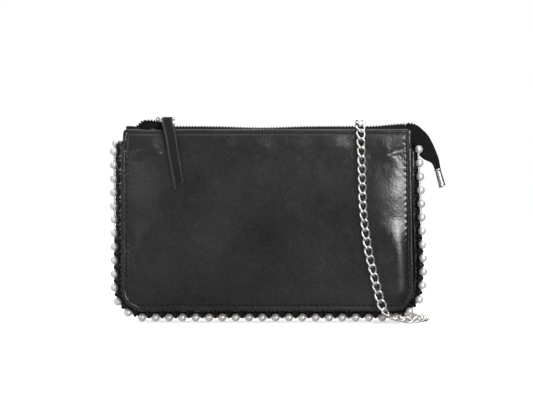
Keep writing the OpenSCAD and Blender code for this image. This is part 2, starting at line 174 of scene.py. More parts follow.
class Nodes:
    """Short way to build a node tree: n.new(type, inputs...) and n.link."""

    def __init__(self, name):
        self.material = bpy.data.materials.new(name)
        self.material.use_nodes = True
        self.tree = self.material.node_tree
        self.shader = self.tree.nodes["Principled BSDF"]
        self.coords = self.tree.nodes.new("ShaderNodeTexCoord").outputs["Object"]

    def new(self, kind, **values):
        node = self.tree.nodes.new(kind)
        for key, value in values.items():
            if hasattr(node, key):
                setattr(node, key, value)
            else:
                node.inputs[key.replace("_", " ")].default_value = value
        return node

    def link(self, a, b):
        self.tree.links.new(a, b)

    def scaled(self, scale, rotation=(0, 0, 0)):
        node = self.new("ShaderNodeMapping")
        node.inputs["Scale"].default_value = scale
        node.inputs["Rotation"].default_value = rotation
        self.link(self.coords, node.inputs["Vector"])
        return node.outputs["Vector"]

    def noise(self, scale, detail=3.0, vector=None, distortion=0.0, rough=0.5):
        node = self.new("ShaderNodeTexNoise", Scale=scale, Detail=detail, Distortion=distortion,
                        Roughness=rough)
        self.link(vector or self.coords, node.inputs["Vector"])
        return node.outputs["Fac"]

    def voronoi(self, scale, vector=None):
        node = self.new("ShaderNodeTexVoronoi", feature="DISTANCE_TO_EDGE", Scale=scale)
        self.link(vector or self.coords, node.inputs["Vector"])
        return node.outputs["Distance"]

    def ramp(self, value, stops):
        node = self.new("ShaderNodeValToRGB")
        band = node.color_ramp
        while len(band.elements) < len(stops):
            band.elements.new(0.5)
        for element, (at, colour) in zip(band.elements, stops):
            element.position = at
            element.color = (*colour, 1.0) if len(colour) == 3 else colour
        self.link(value, node.inputs["Fac"])
        return node.outputs["Color"]

    def spread(self, value, lo, hi, from_lo=0.0, from_hi=1.0):
        node = self.new("ShaderNodeMapRange")
        for key, number in (("From Min", from_lo), ("From Max", from_hi), ("To Min", lo), ("To Max", hi)):
            node.inputs[key].default_value = number
        self.link(value, node.inputs["Value"])
        return node.outputs["Result"]

    def math(self, operation, a, b):
        node = self.new("ShaderNodeMath", operation=operation)
        for value, socket in ((a, node.inputs[0]), (b, node.inputs[1])):
            if isinstance(value, (int, float)):
                socket.default_value = value
            else:
                self.link(value, socket)
        return node.outputs[0]

    def bump(self, height, distance, strength=1.0, after=None):
        node = self.new("ShaderNodeBump", Strength=strength, Distance=distance)
        self.link(height, node.inputs["Height"])
        if after is not None:
            self.link(after, node.inputs["Normal"])
        return node.outputs["Normal"]

    def set(self, **values):
        for key, value in values.items():
            self.shader.inputs[key.replace("_", " ")].default_value = value

    def out(self, socket, name):
        self.link(socket, self.shader.inputs[name])


def leather(name, dark, light, rough=(0.17, 0.25), crinkle=0.00030, level=0.5, calm=None):
    """Glazed leather: crinkles and crackle over a soft pebble, with a fine grain in the colour and
    cloudy gloss. calm gives two heights between which it goes from fairly smooth to fully crinkled."""
    n = Nodes(name)
    tilt = n.scaled((1.0, 1.0, 0.86), (0.0, 0.6, 0.0))
    cloud = n.math("ADD", n.noise(22.0, 4.0), n.noise(1000.0, 3.0, tilt, 0.5))
    creases = n.noise(300.0, 5.0, tilt, 0.9, 0.62)
    crackle = n.voronoi(420.0, vector=tilt)
    fine = n.noise(1400.0, 2.0)
    n.out(n.ramp(n.math("MULTIPLY", cloud, 0.5), [(0.38, dark), (0.62, light)]), "Base Color")
    n.out(n.spread(n.noise(140.0, 5.0, tilt, 1.0), rough[0], rough[1], 0.3, 0.7), "Roughness")
    normal = n.bump(creases, crinkle * 0.5, 1.0)
    if calm:
        axes = n.new("ShaderNodeSeparateXYZ")
        n.link(n.coords, axes.inputs["Vector"])
        by_height = n.spread(axes.outputs["Z"], 0.2, 0.6, *calm)
        by_side = n.spread(axes.outputs["X"], 0.0, -0.1, .055, .090)
        strength = n.math("ADD", by_height, by_side)
        n.link(n.math("MINIMUM", strength, 1.0), normal.node.inputs["Strength"])
    normal = n.bump(crackle, crinkle * 0.5, 0.4, normal)
    normal = n.bump(fine, crinkle * 0.08, 0.5, normal)
    n.out(normal, "Normal")
    n.set(IOR=1.5, Specular_IOR_Level=level)
    return n.material


def metal(name, colour, rough=(0.14, 0.3), scratch=0.00002, solid=1.0):
    """Nickel plate with faint handling marks. Below 1, solid makes it satiny."""
    n = Nodes(name)
    marks = n.noise(420.0, 5.0, n.scaled((1.0, 3.0, 1.0)))
    tint = n.noise(60.0, 2.0)
    darker = tuple(c * 0.86 for c in colour)
    n.out(n.ramp(tint, [(0.35, darker), (0.65, colour)]), "Base Color")
    n.out(n.spread(marks, rough[0], rough[1], 0.35, 0.65), "Roughness")
    n.out(n.bump(marks, scratch, 0.4), "Normal")
    n.set(Metallic=solid)
    return n.material


def woven(name, dark, light, pitch, axes=((1, 0, 1), (1, 0, -1)), sheen=0.3):
    """Woven cloth: two crossing rows of threads."""
    n = Nodes(name)
    waves = []
    for axis in axes:
        turned = n.new("ShaderNodeVectorMath", operation="DOT_PRODUCT")
        n.link(n.coords, turned.inputs[0])
        turned.inputs[1].default_value = axis
        phase = n.math("MULTIPLY", turned.outputs["Value"], 2 * math.pi / pitch)
        waves.append(n.math("SINE", phase, 0.0))
    threads = n.math("ADD", waves[0], waves[1])
    fuzz = n.noise(1500.0, 2.0)
    n.out(n.ramp(n.spread(threads, 0.0, 1.0, -2.0, 2.0), [(0.2, dark), (0.8, light)]), "Base Color")
    n.out(n.spread(fuzz, 0.7, 0.95), "Roughness")
    n.out(n.bump(fuzz, 0.00004, 0.4, n.bump(threads, pitch * 0.08, 0.6)), "Normal")
    n.set(Sheen_Weight=sheen, Sheen_Roughness=0.5, Specular_IOR_Level=0.2)
    return n.material


def plastic(name, dark, light, rough=(0.35, 0.5), level=0.5):
    """A plain grained material: moulded teeth, board or paper."""
    n = Nodes(name)
    n.set(Specular_IOR_Level=level)
    grain = n.noise(800.0, 3.0)
    n.out(n.ramp(n.noise(90.0), [(0.35, dark), (0.65, light)]), "Base Color")
    n.out(n.spread(grain, rough[0], rough[1], 0.3, 0.7), "Roughness")
    n.out(n.bump(grain, 0.00002, 0.4), "Normal")
    return n.material


PANEL = leather("panel_leather", (0.001, 0.001, 0.0011), (0.014, 0.014, 0.0144), calm=(.090, .106))
GUSSET = leather("gusset_leather", (0.0015, 0.0015, 0.0016), (0.0035, 0.0035, 0.0036), (0.2, 0.34),
                 level=0.3)
PULL = leather("pull_leather", (0.006, 0.006, 0.0063), (0.009, 0.009, 0.0092), (0.45, 0.6), 0.0002, 0.16)
# The cut edges' lighter colour is a painted highlight along the strap's edges.
EDGE = leather("cut_edge_painted_highlight", (0.02, 0.02, 0.0205), (0.038, 0.038, 0.039), (0.35, 0.5), 0.0001, 0.4)
SILVER = metal("silver_metal", (0.56, 0.535, 0.52), (0.34, 0.48))
BEAD = metal("bead_metal", (0.75, 0.715, 0.70), (0.36, 0.48), solid=0.6)
CHAIN = metal("chain_metal", (0.84, 0.81, 0.79), (0.24, 0.38))
TAPE = woven("zip_tape", (0.0015, 0.0015, 0.0016), (0.007, 0.007, 0.0073), 0.0009, sheen=0.02)
THREAD = woven("thread", (0.004, 0.004, 0.0042), (0.02, 0.02, 0.02), 0.0005, ((1, 0, 0.6), (1, 1, -1)))
LINING = woven("lining", (0.01, 0.01, 0.012), (0.035, 0.035, 0.04), 0.0008)
BOARD = plastic("board", (0.12, 0.10, 0.08), (0.2, 0.17, 0.13), (0.8, 0.95))
TEETH = plastic("zip_teeth", (0.002, 0.002, 0.0022), (0.006, 0.006, 0.0063), (0.45, 0.6), 0.1)
TIE = woven("tie_cloth", (0.01, 0.01, 0.011), (0.04, 0.04, 0.042), 0.0007)

# ---------------------------------------------------------------- chain strap

# The route's points, in metres, are the ones that part.scad gives in millimetres.
ROUTE_RIGHT = [
    (.084, .0162, .078), (.084, .0162, .060), (.084, .0162, .040), (.084, .0162, .024),
    (.085, .0166, .014), (.089, .0185, .006), (.096, .0215, .0022), (.1015, .021, .0021),
    (.1068, .017, .0021), (.110, .010, .0021), (.1095, .002, .0021), (.1058, -.007, .0021),
    (.0995, -.0135, .0021), (.093, -.016, .0028), (.085, -.0164, .0044), (.0793, -.0162, .012),
    (.0756, -.016, .025), (.073, -.016, .036), (.0697, -.016, .050), (.0671, -.0159, .068),
    (.0656, -.0158, .085), (.0651, -.0158, .104), (.0646, -.0156, .118), (.0642, -.0136, .128),
    (.0642, -.0085, .1364), (.0642, 0.0, .1397), (.0643, .0085, .1364), (.0646, .0136, .128),
    (.065, .0156, .118), (.065, .016, .100), (.065, .016, .080), (.065, .016, .060),
    (.065, .016, .040), (.065, .016, .024), (.064, .0166, .013), (.060, .0188, .0054),
    (.053, .0216, .0022), (.046, .0246, .0021), (.0401, .026, .0021),
]
ROUTE_LEFT = [
    (-.0401, .035, .0021), (-.048, .035, .0046), (-.057, .0345, .0072), (-.066, .031, .0058),
    (-.074, .026, .0036), (-.0805, .0205, .0064), (-.0835, .017, .014), (-.084, .0162, .024),
    (-.084, .0162, .040), (-.084, .0162, .060), (-.084, .0162, .078),
]
HANK_X = .040                # the hank's straight runs end at plus and minus this
NEAR_Y = .026
INNER_Y = .035
LEFT_R = .0230
FLOOR_Z = .0021
LINK_WIDTH = .0070
LINK_WIRE = .00145
LINK_PITCH = .0063
CHAIN_ROLL = -33.0           # degrees the links are turned about the chain's line


def hank_points():
    """The stored turn: along the near run, round, back along the far run and round to the inner run."""
    far_y = NEAR_Y + 2 * LEFT_R
    right_r = (far_y - INNER_Y) / 2
    points = [(x, NEAR_Y, FLOOR_Z) for x in np.linspace(HANK_X, -HANK_X, 9)]
    for a in np.linspace(0, math.pi, 17)[1:-1]:
        points.append((-HANK_X - LEFT_R * math.sin(a), NEAR_Y + LEFT_R * (1 - math.cos(a)), FLOOR_Z))
    points += [(x, far_y, FLOOR_Z) for x in np.linspace(-HANK_X, HANK_X, 9)]
    for a in np.linspace(0, math.pi, 17)[1:-1]:
        points.append((HANK_X + right_r * math.sin(a), far_y - right_r * (1 - math.cos(a)), FLOOR_Z))
    points += [(x, INNER_Y, FLOOR_Z) for x in np.linspace(HANK_X, -HANK_X, 9)]
    return points


def chain_normals(path):
    """The way the links' flat side faces: off the panel, over the zip, or up from the floor."""
    normals = []
    for _, y, z in path:
        upright = np.array([0.0, math.copysign(1.0, y), 0.0])
        over = smoothstep(.122, .1385, z)
        floor = 1.0 - smoothstep(.003, .016, z)
        up = max(float(over), float(floor))
        n = upright * (1 - up) + np.array([0.0, 0.0, 1.0]) * up
        normals.append(unit(n))
    return normals


def link_shape(around=26, wire_sides=8):
    """One curb link: an oval of wire, twisted so that its ends stand across each other."""
    half_across = (LINK_WIDTH - LINK_WIRE) / 2
    half_along = (LINK_PITCH + LINK_WIRE) / 2 + .0001
    twist = math.radians(44)
    centre = []
    for i in range(around):
        t = 2 * math.pi * i / around
        c, s = math.cos(t), math.sin(t)
        across = half_across * math.copysign(abs(c) ** 0.86, c)
        along = half_along * math.copysign(abs(s) ** 0.92, s)
        turn = twist * along / half_along
        centre.append((across * math.cos(turn), along, across * math.sin(turn)))
    centre = np.array(centre)
    tangent = np.roll(centre, -1, 0) - np.roll(centre, 1, 0)
    tangent /= np.linalg.norm(tangent, axis=1)[:, None]
    outward = centre - centre.mean(axis=0)
    verts = []
    for p, t, o in zip(centre, tangent, outward):
        o = unit(o - t * np.dot(o, t))
        b = np.cross(t, o)
        for k in range(wire_sides):
            a = 2 * math.pi * k / wire_sides
            verts.append(p + LINK_WIRE / 2 * (o * math.cos(a) + b * math.sin(a)))
    return np.array(verts), grid_faces(around, wire_sides, wrap_cols=True, wrap_rows=True)


def make_chain():
    """All the links along the whole route, and the cord that they stand for."""
    route = np.concatenate([
        spline_points(ROUTE_RIGHT, 8)[:-1], spline_points(hank_points(), 4)[:-1],
        spline_points(ROUTE_LEFT, 8),
    ])
    path, _ = resample(route, LINK_PITCH)
    path = (path[1:] + path[:-1]) / 2
    normals = chain_normals(path)
    tangent = np.gradient(path, axis=0)
    shape, shape_faces = link_shape()
    verts, faces = [], []
    for p, t, n in zip(path, tangent, normals):
        t = unit(t)
        n = unit(n - t * np.dot(n, t))
        hangs = smoothstep(.008, .03, p[2]) - smoothstep(.128, .1375, p[2])
        sway = math.radians(CHAIN_ROLL * hangs + random.uniform(-6, 6))
        side = np.cross(t, n)
        side, n = side * math.cos(sway) + n * math.sin(sway), n * math.cos(sway) - side * math.sin(sway)
        first = len(verts)
        verts.extend(p + side * v[0] + t * v[1] + n * v[2] for v in shape)
        faces.extend(tuple(first + k for k in f) for f in shape_faces)
    chain = add_object("chain_strap", verts, faces, CHAIN)
    place(chain, "wallet", "chain_metal", "chain_run_right", "chain_hank", "chain_run_left")


make_chain()

# ---------------------------------------------------------------- wallet's own outline

panel_lo, panel_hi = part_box("front_panel")
HALF_W = panel_hi.x
PANEL_LOW = panel_lo.z
PANEL_TOP = panel_hi.z
HALF_T = -panel_lo.y
CORNER_R = .015
CORNER_X = HALF_W - CORNER_R
CORNER_Z = PANEL_LOW + CORNER_R
LEAN_Z = .120
TOP_Y = .0055
EDGE_Y = .01070                # the panels' edges are rolled back to here
FULL_Y = .0131                 # and the padded middle stands out to here
SHOULDER_Y = .0116             # and less far under the zip
TOP_CORNER_R = .0025
PANEL_T = .0012
BEAD_PATH_R = CORNER_R + .0057
BEAD_R = .00288
BEAD_PITCH = .00951
BEAD_COUNT = 46
BEAD_SHIFT = .0007
CORNER_SPREAD = 1.10           # the beads stand further apart round the corners,
BOTTOM_SPREAD = .98            # and closer together along the bottom
GUSSET_TOP = .1262


def inward(x, z, left, right):
    """The wallet isn't quite square: each side stands in by an amount that changes with height."""
    by = np.where(x > 0, np.interp(z, *right), -np.interp(z, *left))
    return x - by * np.abs(x) / HALF_W


def trim_lean(x, z):
    """Where the bead trim stands: straight at the left, a little bowed at the right."""
    return inward(x, z, ([0, 1], [0, 0]),
                  ([.008, .025, .036, .093, .1205], [0, -.0006, -.0013, .0006, .0020]))


def panel_lean(x, z):
    """Where the panels stand: both sides come in a little towards the zip."""
    return inward(x, z, ([.008, .100, .113, .133], [-.0002, -.0001, .0001, .0012]),
                  ([.008, .027, .085, .133], [0, .0002, .0014, .0023]))


def edge_distance(x, z):
    """How far a point lies inside the panel's outline."""
    side = HALF_W - np.abs(x)
    base = np.minimum(side, np.minimum(z - PANEL_LOW, PANEL_TOP - z))
    dx = np.abs(x) - CORNER_X
    dz = CORNER_Z - z
    corner = (dx > 0) & (dz > 0)
    round_part = CORNER_R - np.sqrt(np.maximum(dx, 0) ** 2 + np.maximum(dz, 0) ** 2)
    return np.where(corner, np.minimum(round_part, base + 1), base)


def width_at(z):
    """Half width of the outline at height z, with round lower corners and small upper ones."""
    low = np.clip(CORNER_Z - z, 0, CORNER_R)
    high = np.clip(z - (PANEL_TOP - TOP_CORNER_R), 0, TOP_CORNER_R)
    return (CORNER_X + np.sqrt(np.maximum(CORNER_R ** 2 - low ** 2, 0))
            - (TOP_CORNER_R - np.sqrt(np.maximum(TOP_CORNER_R ** 2 - high ** 2, 0))))


def panel_depth(x, z):
    """How far the padded leather's outer face stands from the middle plane."""
    boost = 1 + 2 * (1 - smoothstep(.040, .075, z))         # it fills out faster low down
    inner = (edge_distance(x, np.minimum(z, .070)) - .003) * boost
    rise = 1 - (1 - np.clip(inner / .027, 0, 1)) ** 2.2
    full = FULL_Y - (FULL_Y - SHOULDER_Y) * smoothstep(.085, .118, z)
    shoulder = .0008 * np.exp(-((HALF_W - .018 - np.abs(x)) / .008) ** 2) * smoothstep(.110, .120, z)
    body = EDGE_Y + (full - EDGE_Y) * rise + shoulder
    wave = .0010 * np.sin(95 * x + .6) + .0006 * np.sin(240 * x)
    t = np.clip((z + wave * (PANEL_TOP - z) / .013 - LEAN_Z + .0012) / (PANEL_TOP - LEAN_Z + .0012), 0, 1)
    return body - (body - TOP_Y) * t ** 1.5


def noise_field(points, scale, seed, octaves=4):
    """Fractal noise at each point."""
    return np.array([noise.fractal(Vector(p) * scale + Vector((seed, seed * 1.7, -seed)), 0.9, 2.1, octaves)
                     for p in points])


SIM_COLS = 84
SIM_ROWS = 54
SIM_INSET = .004               # from the panel's edge to the line that holds the cloth
SIM_FRAMES = 24
PRESSURE = 9.8 * 0.35          # outward, in m/s2
GRAVITY = 9.81


def simulate_puff(name, side):
    """Cloth pinned along its stitch line and pressed outward. Gives each grid point's shift."""
    u = np.linspace(-1, 1, SIM_COLS)
    z = np.linspace(PANEL_LOW + SIM_INSET, PANEL_TOP - SIM_INSET, SIM_ROWS)
    zz, uu = np.meshgrid(z, u, indexing="ij")
    xx = uu * (width_at(zz) - SIM_INSET)
    yy = panel_depth(xx, zz) * side
    rest = np.stack([xx, yy, zz], axis=-1)
    sheet = add_object(name, rest.reshape(-1, 3), grid_faces(SIM_ROWS, SIM_COLS))
    pins = sheet.vertex_groups.new(name="pins")
    border = [i * SIM_COLS + j for i in range(SIM_ROWS) for j in range(SIM_COLS)
              if i in (0, SIM_ROWS - 1) or j in (0, SIM_COLS - 1)]
    pins.add(border, 1.0, "REPLACE")
    cloth = sheet.modifiers.new("cloth", "CLOTH")
    settings = cloth.settings
    settings.quality = 6
    settings.mass = 0.25
    settings.tension_stiffness = 25
    settings.compression_stiffness = 25
    settings.shear_stiffness = 12
    settings.bending_stiffness = 1.2
    settings.shrink_min = -0.012
    settings.vertex_group_mass = "pins"
    cloth.collision_settings.use_collision = False
    cloth.collision_settings.use_self_collision = False
    scene = bpy.context.scene
    scene.gravity = (0.0, PRESSURE * side, 0.0)
    cloth.point_cache.frame_start = 1
    cloth.point_cache.frame_end = SIM_FRAMES
    for f in range(1, SIM_FRAMES + 1):
        scene.frame_set(f)
    done = sheet.evaluated_get(bpy.context.evaluated_depsgraph_get())
    moved = np.array([v.co[:] for v in done.data.vertices]).reshape(SIM_ROWS, SIM_COLS, 3)
    scene.frame_set(1)
    scene.gravity = (0.0, 0.0, -GRAVITY)
    bpy.data.objects.remove(sheet)
    return moved - rest


def resize_field(field, rows, cols):
    """A coarse field read on a finer grid, and smoothed so that no facets show."""
    for axis, count in ((0, rows), (1, cols)):
        old = field.shape[axis]
        at = np.linspace(0, old - 1, count)
        reach = 2 * count // old
        kernel = np.hanning(2 * reach + 3)
        kernel /= kernel.sum()
        field = np.apply_along_axis(lambda line: np.interp(at, np.arange(old), line), axis, field)
        field = np.apply_along_axis(
            lambda line: np.convolve(np.pad(line, reach + 1, "edge"), kernel, "valid"), axis, field)
    return field


STITCH_IN = .0032              # from the panel's edge to the stitch line
STITCH_PITCH = .0041
SECOND_ROW = .0014             # the second row, under the top edge
PUFF_MAX = .0012
SWELL = .0005                  # how far the pressed cloth may move
FINE_COLS = 300
FINE_ROWS = 190


def panel_surface(side, seed):
    """Outer face of a panel as a grid of points, with its rolled edge, stitch groove and creases."""
    u = np.linspace(-1, 1, FINE_COLS)
    u = np.sign(u) * (1 - (1 - np.abs(u)) ** 1.25)
    v = np.linspace(0, 1, FINE_ROWS)
    v = v - 0.09 * np.sin(2 * math.pi * v) / (2 * math.pi) * 2
    zz = (PANEL_LOW + (PANEL_TOP - PANEL_LOW) * v)[:, None] * np.ones((1, FINE_COLS))
    xx = u[None, :] * width_at(zz)
    d = edge_distance(xx, zz)
    depth = panel_depth(xx, zz)
    inside = smoothstep(.0038, .012, d)
    flat = np.stack([xx, zz, np.full_like(xx, seed)], axis=-1).reshape(-1, 3)
    broad = noise_field(flat, 26.0, seed, 3).reshape(xx.shape)
    fold = noise_field(flat * np.array([1.0, 1.3, 1.0]), 90.0, seed + 3.3, 4).reshape(xx.shape)
    lively = .30 + .70 * smoothstep(.094, .106, zz + .003 * broad) + .2 * smoothstep(.55, .95, xx / HALF_W)
    band = np.exp(-((zz - (LEAN_Z - .003)) / .0045) ** 2)
    puff = inside * (.00022 * broad + .00011 * fold * lively + .00025 * band * fold - .00015 * band)
    shift = simulate_puff("sim_" + ("back" if side > 0 else "front"), side)[..., 1] * side
    shift *= SWELL / np.abs(shift).max()
    puff = puff + resize_field(shift, FINE_ROWS, FINE_COLS) * inside
    puff = PUFF_MAX * np.tanh(puff / PUFF_MAX)
    piping = (.0005 - .0003 * smoothstep(.129, .132, zz)) * (1 - ((d - .0015) / .0015) ** 2).clip(0, 1)
    groove = -.00075 * np.exp(-((d - STITCH_IN) / .00045) ** 2)
    along = np.where(HALF_W - np.abs(xx) < zz - PANEL_LOW, zz, xx)
    beside = np.exp(-((d - .0046) / .0008) ** 2)
    pucker = .00010 * (1 + fold) * beside * np.cos(2 * math.pi * along / STITCH_PITCH)
    depth = depth + puff + piping + groove + pucker
    return panel_lean(xx, zz), depth * side, zz


def make_panel(name, side, seed, node):
    """One leather panel."""
    xx, yy, zz = panel_surface(side, seed)
    outer = np.stack([xx, yy, zz], axis=-1).reshape(-1, 3)
    faces = grid_faces(FINE_ROWS, FINE_COLS)
    if side > 0:
        faces = [f[::-1] for f in faces]
    panel = add_object(name, outer, faces, PANEL)
    thicken(panel, PANEL_T, -1.0)
    place(panel, "wallet", "panel_leather", node)


def surface_depth(x, z):
    """Depth of the leather at the stitch line, where there is no puff."""
    return float(panel_depth(np.array(x), np.array(z)))


def inset_outline(inset, pitch):
    """Points along a line set in from the panel's edge, all the way round."""
    r = CORNER_R - inset
    top = PANEL_TOP - inset
    w = HALF_W - inset
    arc = [math.radians(a) for a in range(0, 91, 5)]
    points = [(-w, 0, top)]
    points += [(-CORNER_X - r * math.cos(a), 0, CORNER_Z - r * math.sin(a)) for a in arc]
    points += [(CORNER_X + r * math.sin(a), 0, CORNER_Z - r * math.cos(a)) for a in arc]
    points += [(w, 0, top), (-w, 0, top)]
    return resample(np.array(points), pitch)[0][:-1]


def capsule(centre, along, out, half_length, radius, sides=8):
    """Verts and faces of a short thread, sunk at both ends."""
    along = unit(along)
    out = unit(out - along * np.dot(out, along))
    side = np.cross(along, out)
    verts = []
    stations = [(-1.0, .45), (-.82, .85), (-.4, 1.0), (.4, 1.0), (.82, .85), (1.0, .45)]
    for t, k in stations:
        sunk = -radius * 1.6 * abs(t) ** 6
        for i in range(sides):
            a = 2 * math.pi * i / sides
            verts.append(centre + along * t * half_length + out * (sunk + radius * k * math.sin(a))
                         + side * radius * k * math.cos(a))
    return verts, tube_faces(len(stations), sides)


def merge(parts):
    """One list of verts and faces out of several."""
    verts, faces = [], []
    for v, f in parts:
        first = len(verts)
        verts.extend(v)
        faces.extend(tuple(first + k for k in face) for face in f)
    return verts, faces


def make_stitches(name, side):
    """Stitches in the groove all the way round, with a second row close under the top edge."""
    line = inset_outline(STITCH_IN, STITCH_PITCH)
    second = [np.array([x, 0, PANEL_TOP - SECOND_ROW])
              for x in np.arange(-HALF_W + .004, HALF_W - .004, STITCH_PITCH)]
    pairs = list(zip(line, np.roll(line, -1, 0))) + list(zip(second, second[1:]))
    threads = []
    for p, q in pairs:
        mid = (p + q) / 2
        depth = surface_depth(mid[0], mid[2])
        above = surface_depth(mid[0], min(mid[2] + .001, PANEL_TOP))
        out = np.array([0.0, side * .001, depth - above])
        centre = np.array([float(panel_lean(mid[0], mid[2])), (depth - .0003) * side, mid[2]])
        run = q - p
        run[1] = side * (above - depth) / .001 * run[2] if mid[2] > LEAN_Z else 0.0
        run = run + np.array([0, 0, 1]) * random.uniform(-.1, .1) * MM
        threads.append(capsule(centre, run, out, STITCH_PITCH * .36, .00040))
    stitches = add_object(name, *merge(threads), THREAD)
    place(stitches, "wallet", "zip_tape")


make_panel("front_panel_skin", -1, 2.0, "front_panel")
make_panel("back_panel_skin", 1, 5.0, "back_panel")
make_stitches("front_stitches", -1)
make_stitches("back_stitches", 1)

# ---------------------------------------------------------------- gusset and beads

CORNER_S = CORNER_X / BOTTOM_SPREAD
SIDE_S = CORNER_S + math.pi / 2 * BEAD_PATH_R / CORNER_SPREAD
GUSSET_Y = .0099               # half the strip's width
GUSSET_T = .0009
RIDGE_R = .0177                # how far its middle stands from the corner's centre
ROD_R = .00055


def trim_frame(s):
    """Centre and outward direction of the trim at distance s along the bead row."""
    side = -1.0 if s < 0 else 1.0
    d = abs(s)
    if d <= CORNER_S:
        return np.array([s * BOTTOM_SPREAD, 0, CORNER_Z]), np.array([0, 0, -1.0])
    if d <= SIDE_S:
        a = (d - CORNER_S) * CORNER_SPREAD / BEAD_PATH_R
        return np.array([side * CORNER_X, 0, CORNER_Z]), np.array([side * math.sin(a), 0, -math.cos(a)])
    return np.array([side * CORNER_X, 0, CORNER_Z + d - SIDE_S]), np.array([side, 0, 0.0])


def make_gusset():
    """The strip between the panels. It is gathered up to the rods between the beads and stands
    up behind them."""
    end = SIDE_S + GUSSET_TOP - CORNER_Z
    count = int(2 * end / .0007)
    ys = np.linspace(-1, 1, 35)
    ys = np.sign(ys) * np.abs(ys) ** 1.35 * GUSSET_Y
    verts = []
    for s in np.linspace(-end, end, count):
        centre, out = trim_frame(s)
        phase = (s - BEAD_SHIFT) / BEAD_PITCH - 0.5 * (BEAD_COUNT - 1)
        off = abs(phase - round(phase)) * BEAD_PITCH      # distance from the nearest bead
        lift = float(smoothstep(.0026, .0041, off))
        base = centre + out * BEAD_PATH_R
        cover = 1 - float(smoothstep(.048, .070, base[2]))  # low down the ridge hides the rods
        crest = BEAD_PATH_R - ROD_R - .0001 + (2 * ROD_R + .00015) * cover
        sag = float(smoothstep(.1228, .1262, base[2])) * .0022
        for y in ys:
            t = abs(y) / GUSSET_Y
            body = CORNER_R - .0002 + (RIDGE_R - .0010 - CORNER_R - sag) * (1 - t ** 1.7)
            fin = (.0027 * lift - .0003) * math.exp(-(y / .0014) ** 2)
            fin += .0011 * lift * math.exp(-(y / .0042) ** 2)
            fin += .0026 * lift * cover * (1 - float(smoothstep(.0009, .0018, abs(y))))
            wrinkle = noise.fractal(Vector((s * 210, y * 70, 3.1)), .9, 2.0, 3) * .00042
            wrinkle *= (1 - t ** 6) * (t + .15)
            gather = .00034 * math.cos(2 * math.pi * phase * 3) * math.exp(-((abs(y) - .004) / .0028) ** 2)
            behind = (.0037 + .0006 * cover - .8 * sag) * math.exp(-((y - .0044) / .0017) ** 2)
            r = min(body + fin + wrinkle + gather + behind, crest)
            if off < .0030:
                clear = BEAD_PATH_R - math.sqrt(max((BEAD_R + .0001) ** 2 - off ** 2 - y * y, 0.0))
                if off * off + y * y < BEAD_R ** 2:
                    r = min(r, clear)
            p = centre + out * r + np.array([0, y, 0])
            verts.append((float(trim_lean(p[0], p[2])), p[1], p[2]))
    strip = add_object("gusset_strip", verts, grid_faces(count, len(ys)), GUSSET)
    thicken(strip, GUSSET_T, -1.0)
    place(strip, "wallet", "gusset_leather", "gusset")


make_gusset()


def revolve(profile, centre, axis, sides=32):
    """A (distance along the axis, radius) profile turned about an axis."""
    axis = unit(axis)
    side = np.cross(axis, np.array([0.0, 1.0, 0.0]))
    if np.linalg.norm(side) < 1e-6:
        side = np.array([1.0, 0.0, 0.0])
    side = unit(side)
    up = np.cross(axis, side)
    verts = []
    for h, r in profile:
        for i in range(sides):
            a = 2 * math.pi * i / sides
            verts.append(centre + axis * h + (side * math.cos(a) + up * math.sin(a)) * r)
    return verts, tube_faces(len(profile), sides)


def bead_points():
    """The beads' centres: one on the left gusset's top end, then the evenly spaced row."""
    points = [np.array([-.1058, .002, .1246])]
    for i in range(BEAD_COUNT):
        centre, out = trim_frame((i - (BEAD_COUNT - 1) / 2) * BEAD_PITCH + BEAD_SHIFT)
        p = centre + out * BEAD_PATH_R
        points.append(np.array([float(trim_lean(p[0], p[2])), p[1], p[2]]))
    return points


def make_beads():
    """Pressed metal beads with a small collar at each hole, on short stems."""
    points = bead_points()
    globe = [(-.00274, .00052), (-.00276, .00078), (-.00262, .00088)]
    globe += [(-BEAD_R * math.cos(a), BEAD_R * math.sin(a)) for a in np.linspace(.34, math.pi - .34, 21)]
    globe += [(.00262, .00088), (.00276, .00078), (.00274, .00052)]
    beads, stems = [], []
    for i, p in enumerate(points):
        a = points[max(i - 1, 0)]
        b = points[min(i + 1, len(points) - 1)]
        beads.append(revolve(globe, p, b - a, 40))
    for a, b in zip(points, points[1:]):
        gap = np.linalg.norm(b - a)
        half = gap / 2 - BEAD_R + .0002
        stem = [(-half, ROD_R), (-half + .0003, ROD_R * .98), (-.0008, ROD_R * .72), (0, ROD_R * .66),
                (.0008, ROD_R * .72), (half - .0003, ROD_R * .98), (half, ROD_R)]
        stems.append(revolve(stem, (a + b) / 2, b - a, 16))
    place(add_object("bead_row", *merge(beads), BEAD), "wallet", "bead_metal", "beads")
    place(add_object("bead_stems", *merge(stems), BEAD), "wallet", "bead_metal", "bead_rods")


make_beads()

# ---------------------------------------------------------------- zip

TEETH_TOP = .1368
TOOTH_H = .0022
TOOTH_PITCH = .0021
TOOTH_TIP = .0004
TOOTH_OUTLINE = ((-1, -.6), (-.6, -1), (.6, -1), (1, -.6), (.84, .35), (.34, 1), (-.34, 1), (-.84, .35))
TOOTH_HALF_W = .00090
BACK_DROP = .0008               # the back row sits lower, so that the front row's crests show
TAPE_IN = .0022                 # from the middle plane to each tape's inner edge
TAPE_T = .0007
TAIL_T = .0008
ZIP_RIGHT = .096
zip_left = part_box("zip_teeth_front")[0].x


def zip_rise(x):
    """The zip sags a little in the middle and climbs towards both ends."""
    ends = .0017 * float(smoothstep(.070, .096, x)) + .0010 * (1 - float(smoothstep(-.0945, -.0880, x)))
    return ends - .0010 * math.exp(-((x + .0045) / .024) ** 2)


